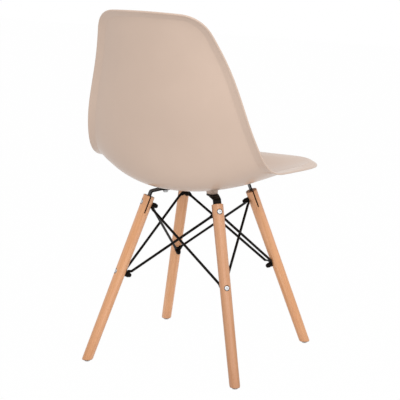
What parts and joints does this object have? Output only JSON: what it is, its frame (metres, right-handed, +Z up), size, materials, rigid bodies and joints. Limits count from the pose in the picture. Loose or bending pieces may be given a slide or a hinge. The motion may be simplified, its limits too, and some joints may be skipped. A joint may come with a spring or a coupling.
{
  "type": "shell chair",
  "caption": "Moulded plastic shell chair with splayed round wooden legs, black steel brackets under the seat and crossed steel rods between the legs.",
  "frame": {"origin": "On the floor, under the middle of the chair's bounding box.", "axes": "+Z is up. The sitter faces -Y, so the backrest is towards +Y, and +X is the sitter's left. The chair is the same on both sides of the plane X = 0, apart from which rod lies inside at each crossing."},
  "size_m": [0.4604, 0.5232, 0.8281],
  "materials": {
    "shell_plastic": "fine satin grain, warm beige",
    "leg_wood": "clear satin lacquer on pale beech",
    "black_metal": "gloss black coating",
    "bright_fastener": "bright zinc",
    "brass_insert": "plain turned",
    "glide_plastic": "smooth grey"
  },
  "bodies": {
    "root": {"seat_shell": "shell_plastic", "threaded_insert_front_left": "brass_insert", "seat_bolt_front_left": "bright_fastener", "seat_washer_front_left": "bright_fastener", "bracket_front_left": "black_metal", "leg_front_left": "leg_wood", "glide_front_left": "glide_plastic", "glide_nail_front_left": "bright_fastener", "leg_bolt_upper_front_left": "bright_fastener", "cap_nut_upper_front_left": "black_metal", "leg_bolt_lower_front_left": "bright_fastener", "cap_nut_lower_front_left": "black_metal", "threaded_insert_rear_left": "brass_insert", "seat_bolt_rear_left": "bright_fastener", "seat_washer_rear_left": "bright_fastener", "bracket_rear_left": "black_metal", "leg_rear_left": "leg_wood", "glide_rear_left": "glide_plastic", "glide_nail_rear_left": "bright_fastener", "leg_bolt_upper_rear_left": "bright_fastener", "cap_nut_upper_rear_left": "black_metal", "leg_bolt_lower_rear_left": "bright_fastener", "cap_nut_lower_rear_left": "black_metal", "threaded_insert_rear_right": "brass_insert", "seat_bolt_rear_right": "bright_fastener", "seat_washer_rear_right": "bright_fastener", "bracket_rear_right": "black_metal", "leg_rear_right": "leg_wood", "glide_rear_right": "glide_plastic", "glide_nail_rear_right": "bright_fastener", "leg_bolt_upper_rear_right": "bright_fastener", "cap_nut_upper_rear_right": "black_metal", "leg_bolt_lower_rear_right": "bright_fastener", "cap_nut_lower_rear_right": "black_metal", "threaded_insert_front_right": "brass_insert", "seat_bolt_front_right": "bright_fastener", "seat_washer_front_right": "bright_fastener", "bracket_front_right": "black_metal", "leg_front_right": "leg_wood", "glide_front_right": "glide_plastic", "glide_nail_front_right": "bright_fastener", "leg_bolt_upper_front_right": "bright_fastener", "cap_nut_upper_front_right": "black_metal", "leg_bolt_lower_front_right": "bright_fastener", "cap_nut_lower_front_right": "black_metal", "brace_rod_left_from_front_left": "black_metal", "brace_rod_left_from_rear_left": "black_metal", "brace_rod_rear_from_rear_left": "black_metal", "brace_rod_rear_from_rear_right": "black_metal", "brace_rod_right_from_rear_right": "black_metal", "brace_rod_right_from_front_right": "black_metal", "brace_rod_front_from_front_right": "black_metal", "brace_rod_front_from_front_left": "black_metal"}
  },
  "joints": []
}
